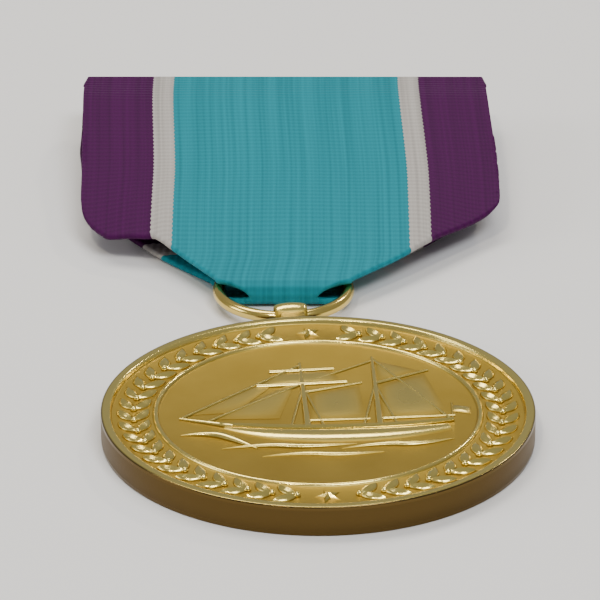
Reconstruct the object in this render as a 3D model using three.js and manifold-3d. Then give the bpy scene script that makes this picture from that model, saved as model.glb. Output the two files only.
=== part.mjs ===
// Pin-back service medal: a struck disc that hangs from a wire ring in a folded ribbon drape,
// with a riveted bar and a safety pin on the back of the drape.
// Millimetres. The medal lies on its back: +Z out of its face, +Y towards the brooch.
// The parts are laid out about the suspension ring's centre, and the whole assembly is then
// moved so that its origin is at the bottom centre of its bounding box.

import * as THREE from 'three';
import { mergeVertices } from 'three/addons/utils/BufferGeometryUtils.js';
import Module from 'manifold-3d';

// ---- driving dimensions ----

const FACE_GAP = 0.05;          // left between pieces that lie or are soldered face to face

const DISC_RADIUS = 16.6;
const DISC_THICKNESS = 2.4;
const RIM_WIDTH = 0.7;
const RIM_HEIGHT = 0.4;         // rim above the struck field, on each face
const RING_LINE_RADIUS = 12.4;  // raised line between the legend band and the centre field
const RING_LINE_WIDTH = 0.45;
const RING_LINE_HEIGHT = 0.22;
const SWING = THREE.MathUtils.degToRad(6.5);  // the disc hangs a little to one side

const RING_RADIUS = 5.25;       // to the middle of the wire
const RING_WIRE = 0.5;          // wire radius
const MID_Z = DISC_THICKNESS / 2;  // height of the ring, the lug and the disc's middle

const LUG_LENGTH = 2.6;
const LUG_RADIUS = 1.2;
const LUG_BORE = 0.72;          // narrowest, at the middle of the flared bore
const LUG_MOUTH = 0.95;
const LUG_NECK_TOP = 1.0;       // neck starts this far below the bore's axis
const LUG_NECK_THICKNESS = 1.8;
const AXIS_TO_DISC = 2.4;       // from the lug's bore to the disc's edge

const RIBBON_WIDTH = 34.9;
const RIBBON_THICKNESS = 0.45;
const RIBBON_TOP_Y = 36.9;
const CORNER_Y = 13.5;          // the straight sides end here and the diagonals begin
const WAIST = { x: 5.7, y: 0.6 };   // where the diagonals reach the ring
const FOLD_BOTTOM_Y = -1.2;
const FOLD_HALF_WIDTH = 1.9;     // clears the inside of the ring
const LOOP_GAP = 1.4;           // between the front and back layers at the ring
const LOOP_FLAT_Y = 7;          // the back layer starts to rise here
const BACK_LEVEL_Y = 27.4;      // and is level again here, under the brooch
const FRONT_LEVEL_Y = 25.4;     // the front layer is level above here

const HARDWARE_HEIGHT = 2.5;    // from the lowest point of the catch to the clamp plate
const PLATE_THICKNESS = 0.5;
const PLATE = { width: 32, bottomY: 28, topY: 35.2, corner: 0.8 };
const BAR_THICKNESS = 1.0;
const BAR = { width: 33.2, bottomY: 27.8 };
const BAR_CLEARANCE = 0.05;     // between the bar and the ribbon, on each side

const RIVET_RADIUS = 0.6;
const RIVET_HEAD = { radius: 1.15, height: 0.4 };
const RIVET_X = 8.5;
const BROOCH_Y = 31.6;          // centre line of the rivets and the pin

const PIN_Z = 1.25;
const PIN_RADIUS = 0.38;
const HINGE_X = 12.6;
const PIN_TIP_X = -14.2;
const POINT_LENGTH = 3.2;
const EYE = { radius: 0.85, bore: 0.42, thickness: 1.0 };
const HINGE_RIVET_RADIUS = 0.38;
const HINGE_RIVET_HEAD = { radius: 0.7, height: 0.35 };
const EAR = { radius: 1.05, thickness: 0.45, gap: 1.2 };
const BRACKET_BASE = 0.3;

const CATCH_X = -12.2;
const CHEEK = { radius: 1.2, bore: 0.86, thickness: 0.6, spacing: 1.7 };
const SLEEVE = { bore: 0.52, journal: 0.8, body: 1.14 };
const SLOT_WIDTH = 0.9;
const CATCH_SIDE = { thickness: 0.35, gap: 0.12, bottom: 0.35 };  // side walls, above the pin's axis
const THUMB_TAB = { reach: 1.7, width: 1.0, thickness: 0.3, angle: THREE.MathUtils.degToRad(-150) };

const TACK = { x: 9.6, y: 14.2, length: 2.4, radius: 0.16 };

// ---- materials ----

const makeMetal = (color, roughness) =>
  new THREE.MeshStandardMaterial({ color, roughness, metalness: 1 });
const satinGold = makeMetal('#b39247', 0.42);
const polishedGold = makeMetal('#d6bb72', 0.18);
const broochBrass = makeMetal('#b8a05e', 0.32);
const pinSteel = makeMetal('#b9bbbd', 0.22);
const ribbonCloth = new THREE.MeshStandardMaterial({ color: '#4f949d', roughness: 0.75, metalness: 0 });
const tackThread = new THREE.MeshStandardMaterial({ color: '#3f7f88', roughness: 0.9, metalness: 0 });

// ---- solids: join, cut and turn closed geometries ----

const wasm = await Module();
wasm.setup();

function toSolid(geometry) {
  const bare = geometry.clone();
  bare.deleteAttribute('normal');
  bare.deleteAttribute('uv');
  const merged = mergeVertices(bare, 1e-5);
  const vertProperties = new Float32Array(merged.attributes.position.array);
  const triVerts = new Uint32Array(merged.index.array);
  return new wasm.Manifold(new wasm.Mesh({ numProp: 3, vertProperties, triVerts }));
}

function toGeometry(solid) {
  const mesh = solid.getMesh();
  const geometry = new THREE.BufferGeometry();
  geometry.setAttribute('position', new THREE.BufferAttribute(mesh.vertProperties, 3));
  geometry.setIndex(new THREE.BufferAttribute(mesh.triVerts, 1));
  geometry.computeVertexNormals();
  return geometry;
}

const join = (...parts) => toGeometry(parts.map(toSolid).reduce((a, b) => a.add(b)));
const cut = (body, ...tools) => toGeometry(tools.map(toSolid).reduce((a, b) => a.subtract(b), toSolid(body)));
const common = (a, b) => toGeometry(toSolid(a).intersect(toSolid(b)));

// ---- basic shapes ----

function box(x0, x1, y0, y1, z0, z1) {
  const geometry = new THREE.BoxGeometry(x1 - x0, y1 - y0, z1 - z0);
  return geometry.translate((x0 + x1) / 2, (y0 + y1) / 2, (z0 + z1) / 2);
}

function rod(radius, from, to, segments = 24) {
  const along = new THREE.Vector3().subVectors(to, from);
  const geometry = new THREE.CylinderGeometry(radius, radius, along.length(), segments);
  const turn = new THREE.Quaternion().setFromUnitVectors(new THREE.Vector3(0, 1, 0), along.normalize());
  const middle = new THREE.Vector3().addVectors(from, to).multiplyScalar(0.5);
  return geometry.applyQuaternion(turn).translate(middle.x, middle.y, middle.z);
}

const point = (x, y, z) => new THREE.Vector3(x, y, z);

// A shape drawn in X and Y becomes a plate from z0 up to z1.
function plate(shape, z0, z1, curveSegments = 12) {
  const geometry = new THREE.ExtrudeGeometry(shape, { depth: z1 - z0, bevelEnabled: false, curveSegments });
  return geometry.translate(0, 0, z0);
}

// A shape drawn in Y and Z becomes a bar from x0 to x1.
function barAlongX(shape, x0, x1, curveSegments = 12) {
  const geometry = new THREE.ExtrudeGeometry(shape, { depth: x1 - x0, bevelEnabled: false, curveSegments });
  return geometry.rotateY(Math.PI / 2).rotateX(Math.PI / 2).translate(x0, 0, 0);
}

function roundedRectangle(x0, x1, y0, y1, radius) {
  const shape = new THREE.Shape();
  shape.moveTo(x0 + radius, y0);
  shape.lineTo(x1 - radius, y0);
  shape.absarc(x1 - radius, y0 + radius, radius, -Math.PI / 2, 0, false);
  shape.absarc(x1 - radius, y1 - radius, radius, 0, Math.PI / 2, false);
  shape.absarc(x0 + radius, y1 - radius, radius, Math.PI / 2, Math.PI, false);
  shape.absarc(x0 + radius, y0 + radius, radius, Math.PI, Math.PI * 1.5, false);
  return shape;
}

function lathe(profile, segments) {
  return new THREE.LatheGeometry(profile.map(([r, h]) => new THREE.Vector2(r, h)), segments);
}

// ---- the disc, its lug and the ring ----

// Both faces are struck alike: rim, legend band, ring line and centre field.
function planchet() {
  const edge = 0.15;  // rounding of the rim's outer edge
  const field = MID_Z - RIM_HEIGHT;
  const line = field + RING_LINE_HEIGHT;
  const upper = [
    [0, field],
    [RING_LINE_RADIUS - RING_LINE_WIDTH / 2, field],
    [RING_LINE_RADIUS - RING_LINE_WIDTH / 4, line],
    [RING_LINE_RADIUS + RING_LINE_WIDTH / 4, line],
    [RING_LINE_RADIUS + RING_LINE_WIDTH / 2, field],
    [DISC_RADIUS - RIM_WIDTH - 0.2, field],
    [DISC_RADIUS - RIM_WIDTH, MID_Z],
    [DISC_RADIUS - edge, MID_Z],
    [DISC_RADIUS, MID_Z - edge],
  ];
  const lower = upper.map(([r, h]) => [r, -h]).reverse();
  const outline = [...upper, ...lower].reverse();
  return lathe(outline, 80).rotateX(Math.PI / 2).translate(0, discCentreY(), MID_Z);
}

function discCentreY() {
  return -RING_RADIUS - AXIS_TO_DISC - DISC_RADIUS;
}

function suspensionLug() {
  const half = LUG_LENGTH / 2;
  const barrel = lathe([
    [LUG_BORE, 0],
    [LUG_MOUTH, half],
    [LUG_RADIUS - 0.08, half],
    [LUG_RADIUS, half - 0.25],
    [LUG_RADIUS, -half + 0.25],
    [LUG_RADIUS - 0.08, -half],
    [LUG_MOUTH, -half],
    [LUG_BORE, 0],
  ].reverse(), 28).rotateZ(Math.PI / 2).translate(0, -RING_RADIUS, MID_Z);
  const top = -RING_RADIUS - LUG_NECK_TOP;
  const bottom = discCentreY() + DISC_RADIUS + FACE_GAP;
  const neck = new THREE.Shape([
    new THREE.Vector2(-1.0, top),
    new THREE.Vector2(-1.0, bottom + 0.4),
    new THREE.Vector2(-1.5, bottom),
    new THREE.Vector2(1.5, bottom),
    new THREE.Vector2(1.0, bottom + 0.4),
    new THREE.Vector2(1.0, top),
  ]);
  const halfNeck = LUG_NECK_THICKNESS / 2;
  return join(barrel, plate(neck, MID_Z - halfNeck, MID_Z + halfNeck));
}

function suspensionRing() {
  return new THREE.TorusGeometry(RING_RADIUS, RING_WIRE, 10, 56).translate(0, 0, MID_Z);
}

// ---- the ribbon drape ----

const CLAMP_TOP_Z = HARDWARE_HEIGHT + PLATE_THICKNESS;
const BACK_TOP_Z = CLAMP_TOP_Z + FACE_GAP;                    // back layer's outer face at the brooch
const CAVITY_HEIGHT = BAR_THICKNESS + 2 * BAR_CLEARANCE;
const CAVITY_Z = BACK_TOP_Z + RIBBON_THICKNESS + CAVITY_HEIGHT / 2;
const TOP_FOLD_RADIUS = CAVITY_HEIGHT / 2 + RIBBON_THICKNESS;
const TOP_FOLD_Y = RIBBON_TOP_Y - TOP_FOLD_RADIUS;
const BOTTOM_FOLD_RADIUS = LOOP_GAP / 2 + RIBBON_THICKNESS;
const BOTTOM_FOLD_Y = FOLD_BOTTOM_Y + BOTTOM_FOLD_RADIUS;

// The loop's outline in Y and Z, inset by a depth from the ribbon's outer face.
function loopOutline(inset, Path) {
  const topRadius = TOP_FOLD_RADIUS - inset;
  const bottomRadius = BOTTOM_FOLD_RADIUS - inset;
  const path = new Path();
  path.moveTo(LOOP_FLAT_Y, MID_Z - bottomRadius);
  path.lineTo(BACK_LEVEL_Y, CAVITY_Z - topRadius);
  path.absarc(TOP_FOLD_Y, CAVITY_Z, topRadius, -Math.PI / 2, Math.PI / 2, false);
  path.lineTo(FRONT_LEVEL_Y, CAVITY_Z + topRadius);
  path.absarc(BOTTOM_FOLD_Y, MID_Z, bottomRadius, Math.PI / 2, Math.PI * 1.5, false);
  path.closePath();
  return path;
}

// The drape seen from the front: straight sides, 45-degree lower corners, a rounded tip.
function drapeOutline() {
  const half = RIBBON_WIDTH / 2;
  const top = RIBBON_TOP_Y + 1;
  const tip = FOLD_BOTTOM_Y - 1;
  const shape = new THREE.Shape();
  shape.moveTo(half, top);
  shape.lineTo(-half, top);
  shape.lineTo(-half, CORNER_Y);
  shape.lineTo(-WAIST.x, WAIST.y);
  shape.lineTo(-FOLD_HALF_WIDTH, tip);
  shape.lineTo(FOLD_HALF_WIDTH, tip);
  shape.lineTo(WAIST.x, WAIST.y);
  shape.lineTo(half, CORNER_Y);
  return shape;
}

function ribbonDrape() {
  const half = RIBBON_WIDTH / 2;
  const band = loopOutline(0, THREE.Shape);
  band.holes.push(loopOutline(RIBBON_THICKNESS, THREE.Path));
  const loop = common(
    barAlongX(band, -half, half, 10),
    plate(drapeOutline(), -1, CAVITY_Z + 4),
  );
  const holes = [-RIVET_X, RIVET_X].map((x) =>
    rod(RIVET_RADIUS + FACE_GAP, point(x, BROOCH_Y, BACK_TOP_Z - 1), point(x, BROOCH_Y, CAVITY_Z)));
  return cut(loop, ...holes);
}

// A short thread laid across the back layer, following its slope.
function tackStitch(side) {
  const lowZ = MID_Z - BOTTOM_FOLD_RADIUS;
  const slope = (CAVITY_Z - TOP_FOLD_RADIUS - lowZ) / (BACK_LEVEL_Y - LOOP_FLAT_Y);
  const backZ = (y) => lowZ + slope * (y - LOOP_FLAT_Y);
  const lift = TACK.radius + FACE_GAP;
  const ends = [-0.5, 0.5].map((k) => {
    const y = TACK.y + k * TACK.length;
    return point(side * (TACK.x + k * TACK.length), y, backZ(y) - lift);
  });
  return rod(TACK.radius, ends[0], ends[1], 8);
}

// ---- the bar, the clamp plate and their rivets ----

function broochBar() {
  const radius = BAR_THICKNESS / 2;
  const shape = new THREE.Shape();
  shape.moveTo(BAR.bottomY, CAVITY_Z - radius);
  shape.absarc(TOP_FOLD_Y, CAVITY_Z, radius, -Math.PI / 2, Math.PI / 2, false);
  shape.lineTo(BAR.bottomY, CAVITY_Z + radius);
  const bar = barAlongX(shape, -BAR.width / 2, BAR.width / 2, 8);
  const holes = [-RIVET_X, RIVET_X].map((x) =>
    rod(RIVET_RADIUS + FACE_GAP, point(x, BROOCH_Y, CAVITY_Z - 2), point(x, BROOCH_Y, CAVITY_Z + 2)));
  return cut(bar, ...holes);
}

function clampPlate() {
  const half = PLATE.width / 2;
  const outline = roundedRectangle(-half, half, PLATE.bottomY, PLATE.topY, PLATE.corner);
  const body = plate(outline, HARDWARE_HEIGHT, CLAMP_TOP_Z, 4);
  const holes = [-RIVET_X, RIVET_X].map((x) =>
    rod(RIVET_RADIUS + FACE_GAP, point(x, BROOCH_Y, 0), point(x, BROOCH_Y, CLAMP_TOP_Z + 1)));
  return cut(body, ...holes);
}

function rivet(x) {
  const under = HARDWARE_HEIGHT - FACE_GAP;
  const dome = under - RIVET_HEAD.height;
  const end = CAVITY_Z + BAR_THICKNESS / 2 - FACE_GAP;
  return lathe([
    [0, end],
    [RIVET_RADIUS, end],
    [RIVET_RADIUS, under],
    [RIVET_HEAD.radius, under],
    [RIVET_HEAD.radius * 0.9, dome + 0.15],
    [RIVET_HEAD.radius * 0.6, dome + 0.03],
    [0, dome],
  ].reverse(), 24).rotateX(Math.PI / 2).translate(x, BROOCH_Y, 0);
}

// ---- the pin, its hinge and its safety catch ----

function hingeBracket() {
  const mountZ = HARDWARE_HEIGHT - FACE_GAP;
  const ears = [-1, 1].map((side) => {
    const inner = BROOCH_Y + side * EAR.gap / 2;
    const outer = inner + side * EAR.thickness;
    const round = rod(EAR.radius, point(HINGE_X, inner, PIN_Z), point(HINGE_X, outer, PIN_Z), 28);
    const y0 = Math.min(inner, outer);
    const web = box(HINGE_X - EAR.radius, HINGE_X + EAR.radius, y0, y0 + EAR.thickness, PIN_Z, mountZ);
    return join(round, web);
  });
  const reach = EAR.gap / 2 + EAR.thickness;
  const base = box(HINGE_X - EAR.radius, HINGE_X + EAR.radius + 0.8,
    BROOCH_Y - reach, BROOCH_Y + reach, mountZ - BRACKET_BASE, mountZ);
  const bore = rod(HINGE_RIVET_RADIUS + 0.02,
    point(HINGE_X, BROOCH_Y - 4, PIN_Z), point(HINGE_X, BROOCH_Y + 4, PIN_Z), 28);
  return cut(join(...ears, base), bore);
}

function hingeRivet() {
  const shank = EAR.gap / 2 + EAR.thickness + FACE_GAP;
  const full = shank + HINGE_RIVET_HEAD.height;
  return lathe([
    [0, -full],
    [HINGE_RIVET_HEAD.radius * 0.7, -full],
    [HINGE_RIVET_HEAD.radius, -shank - 0.12],
    [HINGE_RIVET_HEAD.radius, -shank],
    [HINGE_RIVET_RADIUS, -shank],
    [HINGE_RIVET_RADIUS, shank],
    [HINGE_RIVET_HEAD.radius, shank],
    [HINGE_RIVET_HEAD.radius, shank + 0.12],
    [HINGE_RIVET_HEAD.radius * 0.7, full],
    [0, full],
  ], 28).translate(HINGE_X, BROOCH_Y, PIN_Z);
}

function pinStem() {
  const length = HINGE_X - PIN_TIP_X;
  const start = EYE.bore + 0.2;
  const wire = lathe([
    [0, start],
    [PIN_RADIUS, start],
    [PIN_RADIUS, length - POINT_LENGTH],
    [PIN_RADIUS * 0.72, length - POINT_LENGTH * 0.45],
    [PIN_RADIUS * 0.3, length - 0.25],
    [0, length],
  ], 16).rotateZ(Math.PI / 2).translate(HINGE_X, BROOCH_Y, PIN_Z);
  const across = (radius, half) =>
    rod(radius, point(HINGE_X, BROOCH_Y - half, PIN_Z), point(HINGE_X, BROOCH_Y + half, PIN_Z), 28);
  const eye = across(EYE.radius, EYE.thickness / 2);
  const bore = across(EYE.bore, EYE.thickness);
  return cut(join(wire, eye), bore);
}

// A ring in Y and Z with a slot that opens downwards.
function slottedRing(outer, inner, x0, x1) {
  const shape = new THREE.Shape();
  shape.absarc(0, 0, outer, 0, Math.PI * 2, false);
  const hole = new THREE.Path();
  hole.absarc(0, 0, inner, 0, Math.PI * 2, true);
  shape.holes.push(hole);
  const ring = barAlongX(shape, x0, x1, 14);
  const halfSlot = SLOT_WIDTH / 2;
  return cut(ring, box(x0 - 1, x1 + 1, -halfSlot, halfSlot, -outer - 1, 0));
}

function catchBase() {
  const mountZ = HARDWARE_HEIGHT - FACE_GAP - PIN_Z;  // heights here are from the pin's axis
  const inner = CHEEK.spacing / 2;
  const cheeks = [-inner - CHEEK.thickness, inner].map((x0) => {
    const x1 = x0 + CHEEK.thickness;
    const round = slottedRing(CHEEK.radius, CHEEK.bore, x0, x1);
    const web = box(x0, x1, -0.9, 0.9, CHEEK.bore + 0.05, mountZ);
    return join(round, web);
  });
  const reach = inner + CHEEK.thickness;
  const wallIn = SLEEVE.body + CATCH_SIDE.gap;
  const wallOut = wallIn + CATCH_SIDE.thickness;
  const sides = [[wallIn, wallOut], [-wallOut, -wallIn]].map(([y0, y1]) =>
    box(-reach, reach, y0, y1, CATCH_SIDE.bottom, mountZ));
  const tieIn = CHEEK.bore - 0.05;  // the ties join each cheek's web to the side walls
  const tieOut = wallOut - 0.05;
  const ties = [[tieIn, tieOut], [-tieOut, -tieIn]].flatMap(([y0, y1]) =>
    [-reach, inner].map((x0) => box(x0, x0 + CHEEK.thickness, y0, y1, CATCH_SIDE.bottom, mountZ)));
  return join(...cheeks, ...sides, ...ties).translate(CATCH_X, BROOCH_Y, PIN_Z);
}

function catchSleeve() {
  const end = CHEEK.spacing / 2 + CHEEK.thickness;
  const middle = CHEEK.spacing / 2 - 0.08;
  const journals = slottedRing(SLEEVE.journal, SLEEVE.bore, -end, end);
  const body = slottedRing(SLEEVE.body, SLEEVE.bore, -middle, middle);
  const halfWidth = THUMB_TAB.width / 2;
  const halfThickness = THUMB_TAB.thickness / 2;
  const tab = box(-halfWidth, halfWidth, SLEEVE.journal, THUMB_TAB.reach, -halfThickness, halfThickness)
    .rotateX(THUMB_TAB.angle);
  return join(journals, body, tab).translate(CATCH_X, BROOCH_Y, PIN_Z);
}

// ---- assembly ----

function addPart(group, name, geometry, material) {
  const mesh = new THREE.Mesh(geometry, material);
  mesh.name = name;
  group.add(mesh);
}

const medal = new THREE.Group();

const swinging = new THREE.Group();  // turned about the ring's centre
swinging.rotation.z = SWING;
addPart(swinging, 'planchet', planchet(), satinGold);
addPart(swinging, 'suspension_lug', suspensionLug(), satinGold);
addPart(swinging, 'suspension_ring', suspensionRing(), polishedGold);
medal.add(swinging);

addPart(medal, 'ribbon', ribbonDrape(), ribbonCloth);
addPart(medal, 'tack_stitch_left', tackStitch(-1), tackThread);
addPart(medal, 'tack_stitch_right', tackStitch(1), tackThread);
addPart(medal, 'brooch_bar', broochBar(), broochBrass);
addPart(medal, 'clamp_plate', clampPlate(), broochBrass);
addPart(medal, 'rivet_left', rivet(-RIVET_X), broochBrass);
addPart(medal, 'rivet_right', rivet(RIVET_X), broochBrass);
addPart(medal, 'hinge_bracket', hingeBracket(), broochBrass);
addPart(medal, 'hinge_rivet', hingeRivet(), broochBrass);
addPart(medal, 'pin_stem', pinStem(), pinSteel);
addPart(medal, 'catch_base', catchBase(), broochBrass);
addPart(medal, 'catch_sleeve', catchSleeve(), broochBrass);

// The origin goes to the bottom centre of the bounding box.
const bounds = new THREE.Box3().setFromObject(medal, true);
const centre = bounds.getCenter(new THREE.Vector3());
medal.position.set(-centre.x, -centre.y, -bounds.min.z);

export default medal;
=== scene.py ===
# %% [markdown]
# # A pin-back service medal
# The medal is a struck and gilded disc. It hangs from a wire ring in a folded ribbon,
# and the ribbon hangs from a bar with a safety pin on its back.
# The measured model is loaded first. Every piece below is modelled again at the same
# size and place, with the finish that the real piece has.

# %% Load the measured model
import math

import bpy
import numpy as np
from mathutils import Matrix, Vector


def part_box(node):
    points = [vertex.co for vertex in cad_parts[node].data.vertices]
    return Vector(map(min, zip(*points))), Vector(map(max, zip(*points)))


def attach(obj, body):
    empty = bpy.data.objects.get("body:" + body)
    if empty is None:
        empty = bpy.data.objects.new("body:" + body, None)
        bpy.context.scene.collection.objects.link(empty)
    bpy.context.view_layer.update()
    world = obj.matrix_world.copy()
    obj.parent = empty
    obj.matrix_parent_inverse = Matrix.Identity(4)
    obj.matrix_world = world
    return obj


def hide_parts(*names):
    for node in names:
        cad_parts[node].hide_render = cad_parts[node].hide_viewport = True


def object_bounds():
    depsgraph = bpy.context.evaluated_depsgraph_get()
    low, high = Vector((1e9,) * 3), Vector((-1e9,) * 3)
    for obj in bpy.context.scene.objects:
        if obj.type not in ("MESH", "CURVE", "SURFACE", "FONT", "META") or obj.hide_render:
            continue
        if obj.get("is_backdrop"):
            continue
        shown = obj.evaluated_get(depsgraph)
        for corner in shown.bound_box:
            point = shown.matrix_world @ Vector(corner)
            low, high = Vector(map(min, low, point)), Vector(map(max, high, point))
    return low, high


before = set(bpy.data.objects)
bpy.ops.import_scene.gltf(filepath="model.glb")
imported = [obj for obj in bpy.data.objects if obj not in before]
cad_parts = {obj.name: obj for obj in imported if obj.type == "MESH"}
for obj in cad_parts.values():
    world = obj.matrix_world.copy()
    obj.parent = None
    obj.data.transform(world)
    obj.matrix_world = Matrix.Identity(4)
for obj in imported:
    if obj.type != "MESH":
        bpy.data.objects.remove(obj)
cad_box = [list(corner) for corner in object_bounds()]
bpy.ops.object.select_all(action="DESELECT")
print("the model's box in mm:", [[round(v * 1000, 2) for v in corner] for corner in cad_box])

# %% [markdown]
# Small work is easier in millimetres. Each piece is modelled at 1 unit = 1 mm about the
# centre of the suspension ring, with z = 0 on the table, and is then scaled and moved
# into the frame. The disc, its lug and the ring hang a few degrees to one side,
# so they are also turned about the ring's centre.

# %% Places that come from the measured model
MM = 0.001


def node_box(node):
    low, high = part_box(node)
    return Vector(low) / MM, Vector(high) / MM


def middle(node):
    low, high = node_box(node)
    return (low + high) / 2


def local_box(node):
    """A node's box in mm, measured from the ring's centre."""
    low, high = node_box(node)
    centre = Vector((ring_centre.x, ring_centre.y, 0))
    return low - centre, high - centre


ring_centre = middle("suspension_ring")
disc_centre = middle("planchet")
SWING = math.atan2(disc_centre.x - ring_centre.x, ring_centre.y - disc_centre.y)
MID_Z = disc_centre.z
DISC_Y = -math.hypot(disc_centre.x - ring_centre.x, disc_centre.y - ring_centre.y)
print("swing in degrees", round(math.degrees(SWING), 2), "disc centre at y", round(DISC_Y, 2))

# %% [markdown]
# ## Camera, floor and light
# The camera looks down at the medal from in front, a little over a third of a metre
# away. A long lens keeps that viewpoint and fills the frame with the medal.
# A pale floor and soft lights are enough: metal shows what it reflects, so the lights
# are panels and not lamps.

# %% Camera
camera_data = bpy.data.cameras.new("studio_camera")
camera = bpy.data.objects.new("studio_camera", camera_data)
bpy.context.collection.objects.link(camera)
bpy.context.scene.camera = camera
camera_height = 166.0 * MM
camera_back = 333.6 * MM
camera.location = (disc_centre.x * MM - 1.06 * MM, disc_centre.y * MM - camera_back, camera_height)
aim = Vector((ring_centre.x + 1.34, ring_centre.y - 3.69, 2.0)) * MM
camera.rotation_mode = "QUATERNION"
camera.rotation_quaternion = (aim - camera.location).to_track_quat("-Z", "Y")
camera_data.sensor_width = 36
camera_data.lens = 292
camera_data.clip_start = 0.01
camera_data.clip_end = 20
print("camera distance in mm", round((aim - camera.location).length / MM))


# %% [markdown]
# Colours are written as the hex values that a colour picker shows. Shaders want linear
# light, so one function turns them. A second function adds a shader node, with its
# settings and its links.

# %% Helpers for shaders
def colour(hex_value):
    parts = [int(hex_value[i:i + 2], 16) / 255 for i in (1, 3, 5)]
    return [p / 12.92 if p <= 0.04045 else ((p + 0.055) / 1.055) ** 2.4 for p in parts] + [1.0]


def add_node(tree, kind, inputs=None, stops=None, **settings):
    made = tree.nodes.new(kind)
    for name, value in settings.items():
        setattr(made, name, value)
    for name, value in (inputs or {}).items():
        if isinstance(value, bpy.types.NodeSocket):
            tree.links.new(value, made.inputs[name])
        else:
            made.inputs[name].default_value = value
    if stops:
        ramp = made.color_ramp
        while len(ramp.elements) < len(stops):
            ramp.elements.new(0.5)
        for element, (place, shade) in zip(ramp.elements, stops):
            element.position = place
            element.color = colour(shade)
    return made


def new_material(name):
    material = bpy.data.materials.new(name)
    material.use_nodes = True
    tree = material.node_tree
    tree.nodes.clear()
    shader = add_node(tree, "ShaderNodeBsdfPrincipled")
    add_node(tree, "ShaderNodeOutputMaterial", {"Surface": shader.outputs["BSDF"]})
    print("finish", name)
    return material, tree, shader


# %% [markdown]
# The floor is pale matt board. It is far larger than the medal, so its edge is out of
# the main camera's view.

# %% Floor
board, board_tree, board_shader = new_material("matt_white_board")
board_shader.inputs["Base Color"].default_value = colour("#e9e7e4")
board_shader.inputs["Roughness"].default_value = 0.9
bpy.ops.mesh.primitive_plane_add(size=6, location=(0, 0, 0))
floor = bpy.context.active_object
floor.name = "floor"
floor.data.materials.append(board)
floor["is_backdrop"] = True

# %% [markdown]
# The key light hangs above and behind the medal, so that every raised edge catches a
# glint that runs towards the camera. A weaker panel in front fills the shadows, and
# one at the side gives the ribbon its soft modelling. Two small ones make the sharp
# glints on the relief, which a wide panel would blur.


# %% Lights
def soft_panel(name, place, size, power, tint):
    data = bpy.data.lights.new(name, "AREA")
    data.shape = "RECTANGLE"
    data.size, data.size_y = size
    data.energy = power
    data.color = colour(tint)[:3]
    panel = bpy.data.objects.new(name, data)
    bpy.context.collection.objects.link(panel)
    panel.location = place
    panel.rotation_mode = "QUATERNION"
    panel.rotation_quaternion = (-Vector(place)).to_track_quat("-Z", "Y")


soft_panel("key_panel", (-0.14, 0.3, 0.7), (0.6, 0.26), 3.6, "#fffaf2")
soft_panel("front_panel", (0.22, -0.42, 0.66), (0.34, 0.24), 3.7, "#f6f9ff")
soft_panel("side_panel", (-0.75, -0.1, 0.36), (0.3, 0.3), 1.4, "#ffffff")
soft_panel("glint_front", (-0.16, -0.34, 0.62), (0.05, 0.05), 1.1, "#fff6e4")
soft_panel("glint_back", (0.3, 0.5, 0.46), (0.05, 0.05), 0.7, "#fff6e4")
world = bpy.data.worlds.new("studio_air")
bpy.context.scene.world = world
world.use_nodes = True
world.node_tree.nodes["Background"].inputs["Color"].default_value = colour("#dfe2e6")
world.node_tree.nodes["Background"].inputs["Strength"].default_value = 0.44

# %% [markdown]
# ## Finishes
# ### Gilded bronze, struck
# The disc is bronze, pressed between dies and then given a thin matt gilding. The die's
# blasted field leaves a fine grain. What stands highest was rubbed when the medal was
# finished and handled, so it is smoother. It is also painted much paler: partly that
# rubbing, and partly a painted highlight that stands in for glints on the relief. The
# disc's edge is painted a dark brown, which is painted shade and a painted dark
# reflection, not a tone of the gilding. Height above the disc's middle tells the raised
# parts from the field, because nothing else on the disc shares those heights. The edge
# is found by its distance from the disc's centre.

# %% Struck gilding
GRAIN_MM = 0.16     # blasted grain, drawn a little coarse so that it shows
TONE_MM = 5.0       # soft cloudy changes of tone

struck_gilding, tree, shader = new_material("struck_matt_gilding_on_bronze")
place = add_node(tree, "ShaderNodeTexCoord").outputs["Object"]
offset = [-disc_centre.x * MM, -disc_centre.y * MM, -disc_centre.z * MM]
centred = add_node(tree, "ShaderNodeVectorMath", {0: place, 1: offset}, operation="ADD").outputs[0]
split = add_node(tree, "ShaderNodeSeparateXYZ", {"Vector": centred})
height = add_node(tree, "ShaderNodeMath", {0: split.outputs["Z"]}, operation="ABSOLUTE").outputs[0]
raised = add_node(tree, "ShaderNodeMapRange", {
    "Value": height, "From Min": 0.83 * MM, "From Max": 0.98 * MM,
}, interpolation_type="SMOOTHSTEP").outputs["Result"]
flat_place = add_node(tree, "ShaderNodeCombineXYZ", {"X": split.outputs["X"], "Y": split.outputs["Y"]})
radius = add_node(tree, "ShaderNodeVectorMath", {0: flat_place.outputs[0]}, operation="LENGTH")
share_of_20_mm = add_node(tree, "ShaderNodeMath", {
    0: radius.outputs["Value"], 1: 20 * MM,
}, operation="DIVIDE").outputs[0]
# The edge band found here is painted dark brown below: painted shade and a painted dark reflection.
edge = add_node(tree, "ShaderNodeValToRGB", {"Fac": share_of_20_mm}, stops=[
    (16.44 / 20, "#000000"), (16.56 / 20, "#ffffff"), (16.7 / 20, "#ffffff"), (16.76 / 20, "#000000"),
]).outputs["Color"]
clouds = add_node(tree, "ShaderNodeTexNoise", {
    "Vector": centred, "Scale": 1 / (TONE_MM * MM), "Detail": 3.0, "Roughness": 0.55,
}).outputs["Fac"]
grain = add_node(tree, "ShaderNodeTexNoise", {
    "Vector": centred, "Scale": 1 / (GRAIN_MM * MM), "Detail": 2.0, "Roughness": 0.6,
}).outputs["Fac"]
field_tone = add_node(tree, "ShaderNodeValToRGB", {"Fac": clouds}, stops=[
    (0.3, "#9d8230"), (0.7, "#a88d39"),
]).outputs["Color"]
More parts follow.
